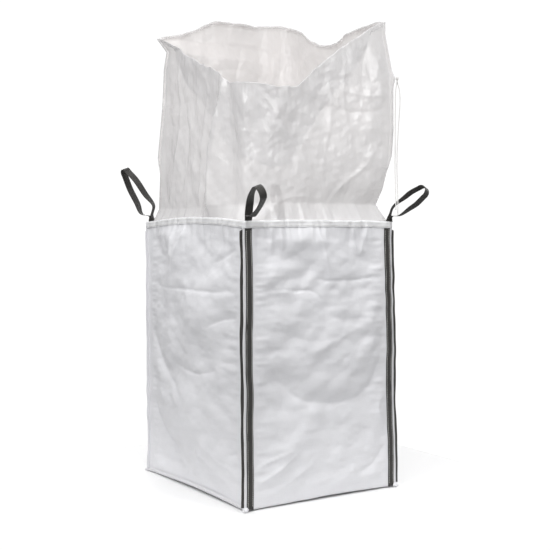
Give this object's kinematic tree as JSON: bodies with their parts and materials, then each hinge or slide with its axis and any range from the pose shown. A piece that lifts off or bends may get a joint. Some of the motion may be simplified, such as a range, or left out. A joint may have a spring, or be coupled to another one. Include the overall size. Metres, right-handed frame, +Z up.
{
  "type": "bulk bag",
  "caption": "Tall open-topped woven bulk bag with black webbing corner straps, leaning lifting loops and a translucent filling skirt with a tie cord.",
  "frame": {"origin": "centre of the base, on the floor", "axes": "+Z up; X along the front face, +X to its right-hand corner; Y along the side faces, with the front face at -Y"},
  "size_m": [1.0869, 1.4079, 2.47],
  "materials": {
    "cloth": "satin",
    "webbing": "matte",
    "thread": "matte",
    "film": "gloss",
    "tie_cord": "matte"
  },
  "bodies": {
    "bag": {"u_panel": "cloth", "side_panel_left": "cloth", "side_panel_right": "cloth", "top_hem_band": "cloth", "corner_strap_front_outer": "webbing", "corner_strap_right_outer": "webbing", "corner_strap_back_outer": "webbing", "corner_strap_left_outer": "webbing", "corner_strap_front_inner": "webbing", "corner_strap_right_inner": "webbing", "corner_strap_back_inner": "webbing", "corner_strap_left_inner": "webbing", "strap_stitching_front": "thread", "strap_stitching_right": "thread", "strap_stitching_back": "thread", "strap_stitching_left": "thread", "hem_stitching": "thread", "base_seam_stitching": "thread", "skirt_front_half": "film", "skirt_back_half": "film", "skirt_seam_stitching": "thread", "skirt_tie_tack": "tie_cord", "skirt_tie_cord_long": "tie_cord", "skirt_tie_cord_short": "tie_cord"},
    "loop_front": {"lifting_loop_front": "webbing"},
    "loop_right": {"lifting_loop_right": "webbing"},
    "loop_back": {"lifting_loop_back": "webbing"},
    "loop_left": {"lifting_loop_left": "webbing"},
    "mouth": {"skirt_mouth_hem": "film"}
  },
  "joints": [
    {"name": "loop_front_lean", "type": "hinge", "parent": "bag", "child": "loop_front", "pos_m": [-0.429, -0.4985, 1.408], "axis": [0.9511, -0.309, 0], "range_deg": [-55, 60]},
    {"name": "loop_right_lean", "type": "hinge", "parent": "bag", "child": "loop_right", "pos_m": [0.429, -0.4985, 1.408], "axis": [0.866, 0.5, 0], "range_deg": [-57, 58]},
    {"name": "loop_back_lean", "type": "hinge", "parent": "bag", "child": "loop_back", "pos_m": [0.429, 0.4985, 1.408], "axis": [-0.9397, 0.342, 0], "range_deg": [-42, 73]},
    {"name": "loop_left_lean", "type": "hinge", "parent": "bag", "child": "loop_left", "pos_m": [-0.429, 0.4985, 1.408], "axis": [-0.866, -0.5, 0], "range_deg": [-30, 85]},
    {"name": "skirt_lower", "type": "slide", "parent": "bag", "child": "mouth", "axis": [0, 0, -1], "range_m": [0, 0.94], "deforming": ["skirt_front_half", "skirt_back_half", "skirt_seam_stitching", "skirt_tie_tack", "skirt_tie_cord_long", "skirt_tie_cord_short"]}
  ]
}
